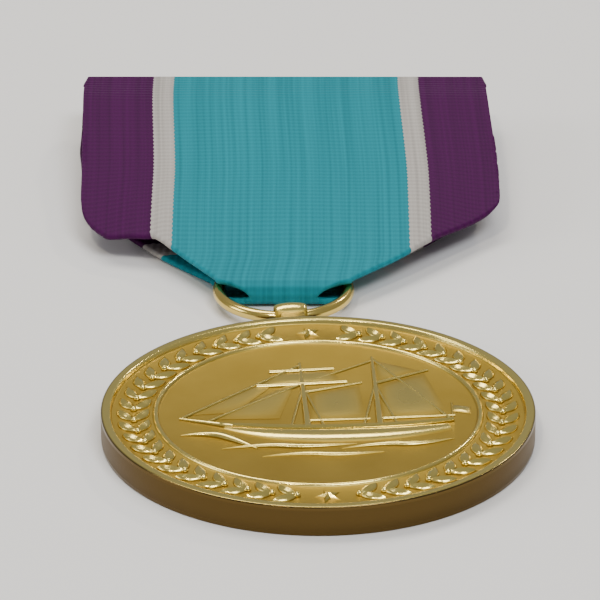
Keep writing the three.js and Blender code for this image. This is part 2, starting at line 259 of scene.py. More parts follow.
# painted highlight: the raised parts get a much paler gold, partly real rubbing and partly standing in for
# glints
rubbed_tone_with_painted_highlight = add_node(tree, "ShaderNodeMix", {
    0: raised, 6: field_tone, 7: colour("#f0d878"),
}, data_type="RGBA").outputs[2]
# painted shade: a dark brown on the disc's edge band, standing in for a dark reflection
tone_with_painted_dark_rim = add_node(tree, "ShaderNodeMix", {
    0: edge, 6: rubbed_tone_with_painted_highlight, 7: colour("#604c29"),
}, data_type="RGBA").outputs[2]
polish = add_node(tree, "ShaderNodeMapRange", {
    "Value": raised, "To Min": 0.46, "To Max": 0.17,
}).outputs["Result"]
grain_depth = add_node(tree, "ShaderNodeBump", {
    "Height": grain, "Strength": 0.32, "Distance": 0.03 * MM,
}).outputs["Normal"]
tree.links.new(tone_with_painted_dark_rim, shader.inputs["Base Color"])
tree.links.new(polish, shader.inputs["Roughness"])
tree.links.new(grain_depth, shader.inputs["Normal"])
shader.inputs["Metallic"].default_value = 1.0

# %% [markdown]
# ### Polished gilt wire
# The ring is drawn wire, bent round, soldered and gilded bright. Drawing leaves very
# fine lines along the wire and handling leaves hairline rubs, so the roughness
# changes a little from place to place while the surface stays smooth.

# %% Bright gilding
RUB_MM = 0.9

bright_gilding, tree, shader = new_material("bright_gilding_on_drawn_wire")
place = add_node(tree, "ShaderNodeTexCoord").outputs["Object"]
rubs = add_node(tree, "ShaderNodeTexNoise", {
    "Vector": place, "Scale": 1 / (RUB_MM * MM), "Detail": 4.0,
}).outputs["Fac"]
rub_polish = add_node(tree, "ShaderNodeMapRange", {
    "Value": rubs, "To Min": 0.1, "To Max": 0.24,
}).outputs["Result"]
rub_depth = add_node(tree, "ShaderNodeBump", {
    "Height": rubs, "Strength": 0.15, "Distance": 0.02 * MM,
}).outputs["Normal"]
tree.links.new(rub_polish, shader.inputs["Roughness"])
tree.links.new(rub_depth, shader.inputs["Normal"])
shader.inputs["Base Color"].default_value = colour("#e3c66a")
shader.inputs["Metallic"].default_value = 1.0

# %% [markdown]
# ### Pressed brass
# The hardware on the back is pressed from brass strip. Rolling leaves straight fine
# lines, handling leaves dull patches, and nobody polishes what faces the coat.

# %% Pressed brass
ROLL_LINE_MM = 0.12
DULL_MM = 2.5

pressed_brass, tree, shader = new_material("rolled_and_pressed_brass")
place = add_node(tree, "ShaderNodeTexCoord").outputs["Object"]
along_strip = add_node(tree, "ShaderNodeMapping", {
    "Vector": place, "Scale": (0.05, 1.0, 1.0),
}).outputs["Vector"]
roll_lines = add_node(tree, "ShaderNodeTexNoise", {
    "Vector": along_strip, "Scale": 1 / (ROLL_LINE_MM * MM), "Detail": 2.0,
}).outputs["Fac"]
dulling = add_node(tree, "ShaderNodeTexNoise", {
    "Vector": place, "Scale": 1 / (DULL_MM * MM), "Detail": 4.0,
}).outputs["Fac"]
brass_tone = add_node(tree, "ShaderNodeValToRGB", {"Fac": dulling}, stops=[
    (0.35, "#a98c4c"), (0.7, "#c8ae6c"),
]).outputs["Color"]
brass_rough = add_node(tree, "ShaderNodeMapRange", {
    "Value": dulling, "To Min": 0.42, "To Max": 0.24,
}).outputs["Result"]
line_depth = add_node(tree, "ShaderNodeBump", {
    "Height": roll_lines, "Strength": 0.22, "Distance": 0.02 * MM,
}).outputs["Normal"]
tree.links.new(brass_tone, shader.inputs["Base Color"])
tree.links.new(brass_rough, shader.inputs["Roughness"])
tree.links.new(line_depth, shader.inputs["Normal"])
shader.inputs["Metallic"].default_value = 1.0

# %% [markdown]
# ### Nickel-plated steel wire
# The pin is spring steel, ground to a point and plated. It is the one cool, silvery
# piece. Its drawing lines run along the wire.

# %% Plated steel
DRAW_LINE_MM = 0.08

plated_steel, tree, shader = new_material("nickel_plated_spring_steel")
place = add_node(tree, "ShaderNodeTexCoord").outputs["Object"]
along_wire = add_node(tree, "ShaderNodeMapping", {
    "Vector": place, "Scale": (0.03, 1.0, 1.0),
}).outputs["Vector"]
draw_lines = add_node(tree, "ShaderNodeTexNoise", {
    "Vector": along_wire, "Scale": 1 / (DRAW_LINE_MM * MM), "Detail": 2.0,
}).outputs["Fac"]
steel_rough = add_node(tree, "ShaderNodeMapRange", {
    "Value": draw_lines, "To Min": 0.14, "To Max": 0.32,
}).outputs["Result"]
steel_depth = add_node(tree, "ShaderNodeBump", {
    "Height": draw_lines, "Strength": 0.12, "Distance": 0.01 * MM,
}).outputs["Normal"]
tree.links.new(steel_rough, shader.inputs["Roughness"])
tree.links.new(steel_depth, shader.inputs["Normal"])
shader.inputs["Base Color"].default_value = colour("#c3c4c4")
shader.inputs["Metallic"].default_value = 1.0

# %% [markdown]
# ### Medal ribbon
# Medal ribbon is a dense ribbed weave of shiny rayon. The coloured threads all run
# along the ribbon, so the stripes do too, and thicker hidden threads across it push
# the surface into fine ribs. The pattern has to follow the folds, so it reads the
# strip's own flat map, in millimetres: u across the ribbon, v along it.

# %% Ribbon dimensions
RIBBON_WIDTH = 34.9
PURPLE_WIDTH = 5.9
WHITE_WIDTH = 1.8
CLOTH_THICKNESS = 0.24
RIB_MM = 0.62       # one rib, drawn a little coarse so that it shows
THREAD_MM = 0.3     # one bundle of threads along the ribbon, also a little coarse
FLAT_MAP = "flat_strip_mm"
print("teal stripe in mm", round(RIBBON_WIDTH - 2 * (PURPLE_WIDTH + WHITE_WIDTH), 1))

# %% Ribbon weave
ribbed_rayon, tree, shader = new_material("ribbed_rayon_medal_ribbon")
flat = add_node(tree, "ShaderNodeUVMap", uv_map=FLAT_MAP).outputs["UV"]
across_along = add_node(tree, "ShaderNodeSeparateXYZ", {"Vector": flat})
across, along = across_along.outputs["X"], across_along.outputs["Y"]

rib_angle = add_node(tree, "ShaderNodeMath", {0: along, 1: 2 * math.pi / RIB_MM}, operation="MULTIPLY")
rib = add_node(tree, "ShaderNodeMath", {0: rib_angle.outputs[0]}, operation="SINE").outputs[0]
thread_angle = add_node(tree, "ShaderNodeMath", {0: across, 1: 2 * math.pi / THREAD_MM}, operation="MULTIPLY")
thread = add_node(tree, "ShaderNodeMath", {0: thread_angle.outputs[0]}, operation="SINE").outputs[0]

# Each bundle of threads takes the dye a little differently all along its length.
streak_place = add_node(tree, "ShaderNodeMapping", {
    "Vector": flat, "Scale": (1 / THREAD_MM, 0.02, 1.0),
}).outputs["Vector"]
streaks = add_node(tree, "ShaderNodeTexNoise", {
    "Vector": streak_place, "Scale": 1.0, "Detail": 2.0,
}).outputs["Fac"]

# The stripes change colour at a thread, and the ribs make that line very slightly toothed.
toothed = add_node(tree, "ShaderNodeMath", {0: rib, 1: 0.04, 2: across}, operation="MULTIPLY_ADD").outputs[0]
stripe_place = add_node(tree, "ShaderNodeMath", {0: toothed, 1: RIBBON_WIDTH}, operation="DIVIDE").outputs[0]
first_edge = PURPLE_WIDTH / RIBBON_WIDTH
second_edge = (PURPLE_WIDTH + WHITE_WIDTH) / RIBBON_WIDTH
stripes = add_node(tree, "ShaderNodeValToRGB", {"Fac": stripe_place}, stops=[
    (0.0, "#40053f"), (first_edge, "#a5a09a"), (second_edge, "#0f7b87"),
    (1 - second_edge, "#a5a09a"), (1 - first_edge, "#40053f"),
])
stripes.color_ramp.interpolation = "CONSTANT"

shade = add_node(tree, "ShaderNodeMapRange", {
    "Value": streaks, "From Min": 0.3, "From Max": 0.7, "To Min": 0.82, "To Max": 1.14,
}).outputs["Result"]
# The ribs also lighten and darken the colour: a painted highlight on each rib's crest and painted shade in
# its trough, on top of the dye streaks.
streaks_and_painted_rib_shade = add_node(tree, "ShaderNodeMath", {0: rib, 1: 0.07, 2: shade}, operation="MULTIPLY_ADD").outputs[0]
dyed_with_painted_rib_shade = add_node(tree, "ShaderNodeVectorMath", {0: stripes.outputs["Color"]}, operation="SCALE")
tree.links.new(streaks_and_painted_rib_shade, dyed_with_painted_rib_shade.inputs["Scale"])
tree.links.new(dyed_with_painted_rib_shade.outputs["Vector"], shader.inputs["Base Color"])

weave = add_node(tree, "ShaderNodeMath", {0: thread, 1: 0.35, 2: rib}, operation="MULTIPLY_ADD").outputs[0]
weave_depth = add_node(tree, "ShaderNodeBump", {
    "Height": weave, "Strength": 0.45, "Distance": 0.035 * MM,
}).outputs["Normal"]
tree.links.new(weave_depth, shader.inputs["Normal"])
shader.inputs["Roughness"].default_value = 0.6
shader.inputs["Specular IOR Level"].default_value = 0.11
shader.inputs["Sheen Weight"].default_value = 0.03
shader.inputs["Sheen Roughness"].default_value = 0.4
shader.inputs["Sheen Tint"].default_value = colour("#d9b4e6")

# %% [markdown]
# ### Sewing thread
# The tacks are two-ply thread, so a slanting ripple runs along them. Its colour follows
# the ripple, darker in the grooves between the plies and lighter on their crowns: painted
# shade and a painted highlight.

# %% Sewing thread
TWIST_MM = 0.3

twisted_thread, tree, shader = new_material("two_ply_sewing_thread")
place = add_node(tree, "ShaderNodeTexCoord").outputs["Object"]
slant = add_node(tree, "ShaderNodeTexWave", {
    "Vector": place, "Scale": 0.314 / (TWIST_MM * MM), "Distortion": 0.5,
}, bands_direction="DIAGONAL").outputs["Fac"]
# painted shade in the grooves between the plies, painted highlight on their crowns
twist_tone_with_painted_shade = add_node(tree, "ShaderNodeValToRGB", {"Fac": slant}, stops=[
    (0.2, "#2f6f78"), (0.8, "#5aa3ab"),
]).outputs["Color"]
thread_depth = add_node(tree, "ShaderNodeBump", {
    "Height": slant, "Strength": 0.6, "Distance": 0.04 * MM,
}).outputs["Normal"]
tree.links.new(twist_tone_with_painted_shade, shader.inputs["Base Color"])
tree.links.new(thread_depth, shader.inputs["Normal"])
shader.inputs["Roughness"].default_value = 0.7
shader.inputs["Sheen Weight"].default_value = 0.3

# %% [markdown]
# ## Modelling helpers
# Every operator works on what is selected, so each helper first makes one piece the
# only selected one. set_in_frame scales a finished piece from millimetres, moves it
# to its place and applies that, so its object ends at the origin, unturned.


# %% Helpers for modelling
def select_only(*objects):
    bpy.ops.object.select_all(action="DESELECT")
    for one in objects:
        one.select_set(True)
    bpy.context.view_layer.objects.active = objects[0]


def new_piece(name):
    piece = bpy.context.active_object
    piece.name = name
    piece.data.name = name
    bpy.ops.object.transform_apply(location=True, rotation=True, scale=True)
    return piece


def apply_modifier(piece, kind, **settings):
    select_only(piece)
    modifier = piece.modifiers.new(kind.lower(), kind)
    for name, value in settings.items():
        setattr(modifier, name, value)
    bpy.ops.object.modifier_apply(modifier=modifier.name)


def soften(piece, width, segments=2, angle=35):
    apply_modifier(piece, "BEVEL", width=width, segments=segments,
                   limit_method="ANGLE", angle_limit=math.radians(angle))


def combine(piece, tool, operation):
    apply_modifier(piece, "BOOLEAN", object=tool, operation=operation, solver="EXACT")
    bpy.data.objects.remove(tool)


def join_into(piece, others):
    select_only(piece, *others)
    bpy.ops.object.join()
    return piece


def copy_of(piece, name):
    twin = piece.copy()
    twin.data = piece.data.copy()
    twin.name = name
    bpy.context.collection.objects.link(twin)
    return twin


def smooth(piece, angle=40):
    select_only(piece)
    bpy.ops.object.shade_smooth_by_angle(angle=math.radians(angle))


def set_in_frame(piece, swinging=False):
    turn = Matrix.Rotation(SWING if swinging else 0.0, 4, "Z")
    to_place = Matrix.Translation((ring_centre.x * MM, ring_centre.y * MM, 0))
    piece.matrix_world = to_place @ turn @ Matrix.Scale(MM, 4)
    select_only(piece)
    bpy.ops.object.transform_apply(location=True, rotation=True, scale=True)


def hand_over(piece, node, body, finish):
    piece.data.materials.clear()
    piece.data.materials.append(finish)
    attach(piece, body)
    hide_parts(node)
    print(piece.name, len(piece.data.vertices), "points,", len(piece.data.polygons), "faces")


def in_edit_mode(piece, select_mode="FACE"):
    select_only(piece)
    bpy.ops.object.mode_set(mode="EDIT")
    bpy.ops.mesh.select_mode(type=select_mode)
    bpy.ops.mesh.select_all(action="DESELECT")
    bpy.ops.object.mode_set(mode="OBJECT")


def choose_faces(piece, test):
    in_edit_mode(piece)
    for face in piece.data.polygons:
        face.select = test(face)
    bpy.ops.object.mode_set(mode="EDIT")


def leave_edit_mode():
    bpy.ops.object.mode_set(mode="OBJECT")


# %% [markdown]
# ## The disc
# A medal blank is a thick coin. It is modelled as one: a cylinder whose two end faces
# are inset again and again, each ring being moved up or down to make the rim, the
# legend band and the raised ring line. Both faces are struck alike, so one loop
# does both.

# %% Blank with its rims and ring lines
DISC_RADIUS = 16.6
DISC_THICKNESS = 2.4
RIM_WIDTH = 0.7
FIELD_DROP = 0.4
RING_LINE_RADIUS = 12.4
RING_LINE_WIDTH = 0.45
RING_LINE_HEIGHT = 0.24
FIELD_Z = DISC_THICKNESS / 2 - FIELD_DROP   # above the disc's middle

bpy.ops.mesh.primitive_cylinder_add(vertices=180, radius=DISC_RADIUS, depth=DISC_THICKNESS)
disc = new_piece("struck_disc")
slope = 0.12
ring_steps = [
    # (inset, then move along the face's own normal)
    (RIM_WIDTH, 0),
    (slope, -FIELD_DROP),
    (DISC_RADIUS - RIM_WIDTH - slope - RING_LINE_RADIUS - RING_LINE_WIDTH / 2, 0),
    (RING_LINE_WIDTH / 4, RING_LINE_HEIGHT),
    (RING_LINE_WIDTH / 2, 0),
    (RING_LINE_WIDTH / 4, -RING_LINE_HEIGHT),
]
for side in (1, -1):
    choose_faces(disc, lambda face: face.normal.z * side > 0.9 and face.area > 100)
    for inset, move in ring_steps:
        bpy.ops.mesh.inset(thickness=inset, depth=0)
        bpy.ops.transform.translate(value=(0, 0, side * move))
    leave_edit_mode()
soften(disc, width=0.11, segments=3, angle=25)
print("disc faces", len(disc.data.polygons))

# %% [markdown]
# ### Relief
# Struck relief is soft: every shape rises from the field with a rounded shoulder and
# carries a ridge or a belly that catches light. Each shape is a small closed solid
# sunk to its waist in the field. A leaf starts as a sphere. Its outline is pinched
# to a point at both ends, and its top is pulled into a ridge, like a vein.


# %% Leaf, berry and star
def relief_leaf(length, width, rise):
    bpy.ops.mesh.primitive_uv_sphere_add(segments=12, ring_count=10, radius=1, rotation=(0, math.pi / 2, 0))
    leaf = new_piece("leaf")
    for vertex in leaf.data.vertices:
        x, y, z = vertex.co
        outline = max(1 - x * x, 0.0)
        round_part = math.sqrt(outline)
        side = y / round_part if round_part > 0.01 else 0.0
        ridge = (1 - 0.75 * abs(side)) * math.copysign(1, z) if abs(z) > 0.01 else 0.0
        vertex.co = (x * length / 2, side * outline * width / 2, ridge * round_part * rise)
    return leaf


def relief_star(size, rise):
    bpy.ops.mesh.primitive_cone_add(vertices=10, radius1=size, radius2=0, depth=rise * 2)
    star = new_piece("star")
    for index, vertex in enumerate(v for v in star.data.vertices if v.co.z < 0):
        reach = 0.42 if index % 2 else 1.0
        vertex.co = (vertex.co.x * reach, vertex.co.y * reach, -0.06)
    return star


def relief_berry(size, rise):
    bpy.ops.mesh.primitive_uv_sphere_add(segments=10, ring_count=6, radius=size)
    berry = new_piece("berry")
    for vertex in berry.data.vertices:
        vertex.co.z *= rise / size
    return berry


def stand_on_face(piece, x, y, angle=0.0, side=1):
    turn = Matrix.Rotation(angle, 4, "Z")
    flip = Matrix.Rotation(math.pi, 4, "Y") if side < 0 else Matrix.Identity(4)
    piece.matrix_world = flip @ Matrix.Translation((x, y, FIELD_Z)) @ turn
    select_only(piece)
    bpy.ops.object.transform_apply(location=True, rotation=True, scale=True)
    return piece


# %% [markdown]
# The legend band carries a laurel garland in place of words. Two sprays start at the
# foot and meet at the top. At each step along a spray an outer and an inner leaf
# lean forward from the stem, with a berry between them, and a star closes each end.

# %% Laurel garland in the legend band
BAND_RADIUS = 14.1
LEAF_STEPS = 21
STAR_GAP = math.radians(9)

leaf_model = relief_leaf(length=2.2, width=1.0, rise=0.39)
berry_model = relief_berry(size=0.28, rise=0.38)
star_model = relief_star(size=1.25, rise=0.38)
relief = []
for way in (1, -1):
    for step in range(LEAF_STEPS):
        turn = STAR_GAP + (step + 0.5) * (math.pi - 2 * STAR_GAP) / LEAF_STEPS
        about = -math.pi / 2 + way * turn
        forward = about + way * math.pi / 2
        for lean, reach in ((0.62, 0.62), (-0.62, -0.62)):
            at = BAND_RADIUS + reach
            angle = forward - way * lean
            leaf = copy_of(leaf_model, "leaf_copy")
            relief.append(stand_on_face(leaf, at * math.cos(about), at * math.sin(about), angle))
        berry_at = about - way * 0.06
        berry = copy_of(berry_model, "berry_copy")
        relief.append(stand_on_face(
            berry, BAND_RADIUS * math.cos(berry_at), BAND_RADIUS * math.sin(berry_at)))
for about in (math.pi / 2, -math.pi / 2):
    star = copy_of(star_model, "star_copy")
    relief.append(stand_on_face(
        star, BAND_RADIUS * math.cos(about), BAND_RADIUS * math.sin(about), math.pi / 2))
print("shapes in the garland", len(relief))

# %% [markdown]
# ### The ship
# The centre shows a two-masted schooner under sail, heading left. A sail is a grid
# stretched between its corners, bellied out by the wind and given a wall below it.
# Spars and ropes are thin tapered rods, half sunk in the field. Hull and waves are
# flattened tubes that follow a curve.


# %% Sail, spar and curved ridge
def relief_sail(corners, belly, lift=0.03):
    bpy.ops.mesh.primitive_grid_add(x_subdivisions=8, y_subdivisions=8, size=2)
    sail = new_piece("sail")
    low_left, low_right, top_right, top_left = (Vector(c) for c in corners)
    for vertex in sail.data.vertices:
        s, t = (vertex.co.x + 1) / 2, (vertex.co.y + 1) / 2
        low = low_left.lerp(low_right, s)
        top = top_left.lerp(top_right, s)
        x, y = low.lerp(top, t)
        full = math.sqrt(max(16 * s * (1 - s) * t * (1 - t), 0.0))
        vertex.co = (x, y, lift + belly * full)
    apply_modifier(sail, "SOLIDIFY", thickness=0.3, offset=-1)
    return sail


def relief_spar(start, end, thick, thin=None):
    start, end = Vector((*start, 0.0)), Vector((*end, 0.0))
    thin = thick if thin is None else thin
    run = end - start
    bpy.ops.mesh.primitive_cone_add(
        vertices=10, radius1=thick, radius2=thin, depth=run.length,
        location=(start + end) / 2, rotation=run.to_track_quat("Z", "Y").to_euler())
    return new_piece("spar")


def relief_ridge(points, radii, rise):
    curve = bpy.data.curves.new("ridge", "CURVE")
    curve.dimensions = "3D"
    curve.bevel_depth = 1.0
    curve.bevel_resolution = 3
    curve.use_fill_caps = True
    spline = curve.splines.new("NURBS")
    spline.points.add(len(points) - 1)
    spline.order_u = 3
    spline.use_endpoint_u = True
    spline.resolution_u = 6
    for knot, (x, y), radius in zip(spline.points, points, radii):
        knot.co = (x, y, 0, 1)
        knot.radius = radius
    ridge = bpy.data.objects.new("ridge", curve)
    bpy.context.collection.objects.link(ridge)
    select_only(ridge)
    bpy.ops.object.convert(target="MESH")
    ridge = new_piece("ridge")
    highest = max(vertex.co.z for vertex in ridge.data.vertices)
    for vertex in ridge.data.vertices:
        vertex.co.z *= rise / highest
    return ridge


# %% Schooner
FORE_MAST_X = -0.9
MAIN_MAST_X = 4.6
DECK_Y = -2.7

ship = [
    # hull, rail and bowsprit
    relief_ridge([(-7.2, -2.3), (-4.5, -3.5), (1.0, -4.1), (6.5, -3.8), (9.8, -2.9)],
                 [0.35, 0.95, 1.15, 1.0, 0.55], 0.3),
    relief_ridge([(-7.6, -1.9), (-4.0, -2.7), (1.0, -3.0), (6.5, -2.8), (10.2, -2.0)],
                 [0.12, 0.17, 0.17, 0.17, 0.14], 0.38),
    relief_spar((-6.6, -2.2), (-10.6, -0.7), 0.27, 0.14),
    # masts, topmasts and yards
    relief_spar((FORE_MAST_X, DECK_Y), (FORE_MAST_X - 0.1, 8.6), 0.32, 0.14),
    relief_spar((MAIN_MAST_X, DECK_Y), (MAIN_MAST_X + 0.1, 9.4), 0.32, 0.14),
    relief_spar((-4.5, 4.6), (2.5, 5.1), 0.25, 0.2),
    relief_spar((-3.4, 7.1), (1.6, 7.5), 0.23, 0.18),
    # booms and gaffs
    relief_spar((MAIN_MAST_X, -1.4), (10.4, -1.1), 0.19, 0.14),
    relief_spar((MAIN_MAST_X, 4.7), (8.9, 6.9), 0.19, 0.14),
    relief_spar((FORE_MAST_X, -1.5), (3.9, -1.4), 0.18, 0.14),
    relief_spar((FORE_MAST_X, 3.4), (3.6, 4.9), 0.18, 0.14),
    # stays and backstays
    relief_spar((-10.5, -0.7), (-1.0, 8.2), 0.16),
    relief_spar((-8.6, -1.4), (-1.0, 4.9), 0.15),
    relief_spar((MAIN_MAST_X + 0.1, 9.1), (10.1, -1.9), 0.15),
    relief_spar((MAIN_MAST_X + 0.1, 8.8), (-0.9, 5.0), 0.13),
    relief_spar((-2.2, -2.7), (-0.95, 4.4), 0.13),
    relief_spar((0.4, -2.9), (-0.95, 4.4), 0.13),
    relief_spar((3.3, -2.9), (4.65, 4.6), 0.13),
    relief_spar((6.0, -2.9), (4.65, 4.6), 0.13),
]
sails = [
    # (lower left, lower right, upper right, upper left)
    ([(-8.2, -0.9), (-3.0, -1.0), (-1.5, 5.2), (-1.7, 5.2)], 0.07),
    ([(-10.0, -0.1), (-6.4, 0.2), (-1.5, 7.3), (-1.7, 7.3)], 0.06),
    ([(-4.1, 4.9), (2.1, 5.3), (1.4, 7.2), (-3.2, 6.9)], 0.09),
    ([(-0.5, -1.2), (3.6, -1.1), (3.4, 4.5), (-0.5, 3.2)], 0.09),
    ([(5.0, -1.1), (9.9, -0.8), (8.6, 6.4), (5.0, 4.5)], 0.1),
    ([(5.0, 5.2), (8.3, 6.9), (5.1, 8.7), (4.95, 8.6)], 0.06),
]
for corners, belly in sails:
    ship.append(relief_sail(corners, belly))
ensign = relief_sail([(10.2, -0.4), (11.6, -0.9), (11.7, 0.3), (10.3, 0.7)], 0.14)
ship += [ensign, relief_spar((10.2, -2.0), (10.3, 1.1), 0.09)]
sea = [
    ([(-10.6, -3.5), (-8.4, -3.3), (-6.6, -4.4), (-4.9, -6.0)], 0.34),
    ([(-7.6, -5.9), (-4.4, -5.3), (-1.0, -6.0), (2.6, -5.5)], 0.24),
    ([(1.4, -6.3), (4.4, -5.5), (7.4, -6.0), (10.0, -5.0)], 0.24),
    ([(-4.6, -7.3), (-1.6, -6.8), (1.4, -7.4), (4.6, -6.9)], 0.2),
]
for points, rise in sea:
    ship.append(relief_ridge(points, [0.06, 0.3, 0.34, 0.08], rise))
relief += [stand_on_face(shape, 0, 0) for shape in ship]
print("shapes in the ship", len(ship))

# %% [markdown]
# ### The reverse
# The back is seldom seen. It has a wreath round a blank tablet, where a name could
# be cut, and a small star above it.

# %% Wreath and tablet on the reverse
WREATH_RADIUS = 9.4
for way in (1, -1):
    for step in range(11):
        about = -math.pi / 2 + way * math.radians(16 + step * 13.2)
        forward = about + way * math.pi / 2
        for lean, reach in ((0.6, 0.75), (-0.6, -0.75)):
            at = WREATH_RADIUS + reach
            leaf = copy_of(leaf_model, "leaf_copy")
            relief.append(stand_on_face(
                leaf, at * math.cos(about), at * math.sin(about), forward - way * lean, side=-1))
star = copy_of(star_model, "star_copy")
relief.append(stand_on_face(star, 0, 5.2, math.pi / 2, side=-1))
bpy.ops.mesh.primitive_cube_add(size=1, scale=(10.5, 4.2, 0.5))
tablet = new_piece("tablet")
soften(tablet, width=0.18, segments=3)
choose_faces(tablet, lambda face: face.normal.z > 0.9)
bpy.ops.mesh.inset(thickness=0.45)
bpy.ops.transform.translate(value=(0, 0, -0.08))
leave_edit_mode()
relief.append(stand_on_face(tablet, 0, -0.6, side=-1))
print("shapes on both faces", len(relief))

# %% [markdown]
# Everything on the two faces is joined to the blank. The relief is turned with the
# disc, so the ship stays level to the viewer only if it is first turned back a
# little: on the real piece the lug was soldered slightly off the design's centre line.

# %% Join the disc
LUG_OFFSET = math.radians(-3.5)
for model in (leaf_model, berry_model, star_model):
    bpy.data.objects.remove(model)
join_into(disc, relief)
disc.matrix_world = Matrix.Translation((0, DISC_Y, MID_Z)) @ Matrix.Rotation(LUG_OFFSET, 4, "Z")
select_only(disc)
bpy.ops.object.transform_apply(location=True, rotation=True, scale=True)
smooth(disc, 45)
set_in_frame(disc, swinging=True)
hand_over(disc, "planchet", "medallion", struck_gilding)

# %% [markdown]
# ## The lug
# The disc hangs by a barrel-shaped eye. Its hole flares towards both ends so that the
# ring's curve fits through it, which is just what a torus stretched along its own
# axis looks like. A tapered neck widens into a foot of solder on the disc's edge.

# %% Suspension lug
RING_RADIUS = 5.25
LUG_MIDDLE_RADIUS = 0.96
LUG_WALL = 0.24
LUG_HALF_LENGTH = 1.3
FOOT_Y = DISC_Y + DISC_RADIUS + 0.05

bpy.ops.mesh.primitive_torus_add(
    major_radius=LUG_MIDDLE_RADIUS, minor_radius=LUG_WALL, major_segments=48, minor_segments=20)
lug = new_piece("suspension_eye")
select_only(lug)
bpy.ops.transform.resize(value=(1, 1, LUG_HALF_LENGTH / LUG_WALL))
lug.rotation_euler = (0, math.pi / 2, 0)
lug.location = (0, -RING_RADIUS, MID_Z)
bpy.ops.object.transform_apply(location=True, rotation=True, scale=True)

neck_top = -RING_RADIUS - LUG_MIDDLE_RADIUS - 0.05
bpy.ops.mesh.primitive_cube_add(
    size=1, location=(0, (neck_top + FOOT_Y) / 2, MID_Z), scale=(1.9, neck_top - FOOT_Y, 1.8))
neck = new_piece("neck")
choose_faces(neck, lambda face: face.normal.y < -0.9)
bpy.ops.transform.translate(value=(0, 0.4, 0))
bpy.ops.mesh.extrude_region_move(TRANSFORM_OT_translate={"value": (0, -0.25, 0)})
bpy.ops.transform.resize(value=(1.25, 1, 1.1))
bpy.ops.mesh.extrude_region_move(TRANSFORM_OT_translate={"value": (0, -0.15, 0)})
bpy.ops.transform.resize(value=(1.25, 1, 1.1))
leave_edit_mode()
combine(lug, neck, "UNION")
soften(lug, width=0.07, segments=2, angle=40)
smooth(lug, 50)
set_in_frame(lug, swinging=True)
hand_over(lug, "suspension_lug", "medallion", struck_gilding)

# %% [markdown]
# ## The ring
# One turn of bright wire, closed by a soldered butt joint at the top, where the
# ribbon hides it. The joint is a shallow groove: a narrow band of the torus drawn
# in a little.

# %% Suspension ring
WIRE_RADIUS = 0.49
JOINT_DEPTH = 0.94

bpy.ops.mesh.primitive_torus_add(
    major_radius=RING_RADIUS, minor_radius=WIRE_RADIUS, major_segments=160, minor_segments=28,
    location=(0, 0, MID_Z))
ring = new_piece("wire_ring")
for vertex in ring.data.vertices:
    x, y, z = vertex.co
    if y > 0 and abs(x) < 0.11:
        out = Vector((x, y, 0)).normalized() * RING_RADIUS
        centre = Vector((out.x, out.y, MID_Z))
        vertex.co = centre + (vertex.co - centre) * JOINT_DEPTH
smooth(ring, 60)
set_in_frame(ring, swinging=True)
hand_over(ring, "suspension_ring", "ring", bright_gilding)

# %% [markdown]
# ## The ribbon
# The drape is one strip, folded. It starts under the clamp plate, comes down the back,
# turns round the ring, goes up the front, over the bar, and ends tucked in behind it.
# Its lower corners are folded in behind the front along two slanting creases, and
# the back is folded the same way, so that the strip is narrow where it meets the ring.
# A strip of paper folds like this too, so the shape is a rule for every point of the
# flat strip and not a simulation: a grid is made, and each of its points is moved to
# where folding takes it. Rows run across the ribbon and columns along it. Past a
# crease the columns turn a small half circle and come back underneath as a flap.

# %% The strip's path, seen from the side
HALF_WIDTH = RIBBON_WIDTH / 2
ribbon_low, ribbon_high = local_box("ribbon")
bar_low, bar_high = local_box("brooch_bar")
plate_low, plate_high = local_box("clamp_plate")
BACK_LOW_Z = ribbon_low.z + CLOTH_THICKNESS / 2 + 0.03      # the back layer lies on the table
FRONT_LOW_Z = 2.2
BOTTOM_REACH = (FRONT_LOW_Z - BACK_LOW_Z + CLOTH_THICKNESS) / 2
FOLD_BOTTOM_Y = ribbon_low.y + BOTTOM_REACH                 # centre of the turn round the ring
BACK_HIGH_Z = plate_high.z + CLOTH_THICKNESS / 2 + 0.03     # between the clamp plate and the bar
TUCK_Z = BACK_HIGH_Z + CLOTH_THICKNESS + 0.02               # the tucked end lies on the back layer's end
FRONT_HIGH_Z = ribbon_high.z - CLOTH_THICKNESS / 2 - 0.02
TOP_REACH = (FRONT_HIGH_Z - TUCK_Z + CLOTH_THICKNESS) / 2
TOP_Y = ribbon_high.y - TOP_REACH                           # centre of the turn over the bar
TUCK_END_Y = bar_low.y + 1.2
BACK_END_Y = plate_high.y - 0.5
BROOCH_LOW_Y = bar_low.y


def ease(value):
    value = min(max(value, 0.0), 1.0)
    return value * value * (3 - 2 * value)


def half_turn(centre_y, low_z, high_z, outwards, count):
    middle_z, reach = (low_z + high_z) / 2, (high_z - low_z) / 2
    steps = [math.pi * k / count for k in range(count + 1)]
    return [(centre_y + outwards * reach * math.sin(a), middle_z - reach * math.cos(a)) for a in steps]


def back_height(y):
    return BACK_LOW_Z + (BACK_HIGH_Z - BACK_LOW_Z) * ease((y - 7.5) / (BROOCH_LOW_Y - 8.0))


def front_height(y):
    straight = min(max((y - FOLD_BOTTOM_Y) / (BROOCH_LOW_Y - 2.5), 0.0), 1.0)
    return FRONT_LOW_Z + (FRONT_HIGH_Z - FRONT_LOW_Z) * (0.45 * straight + 0.55 * ease(straight))


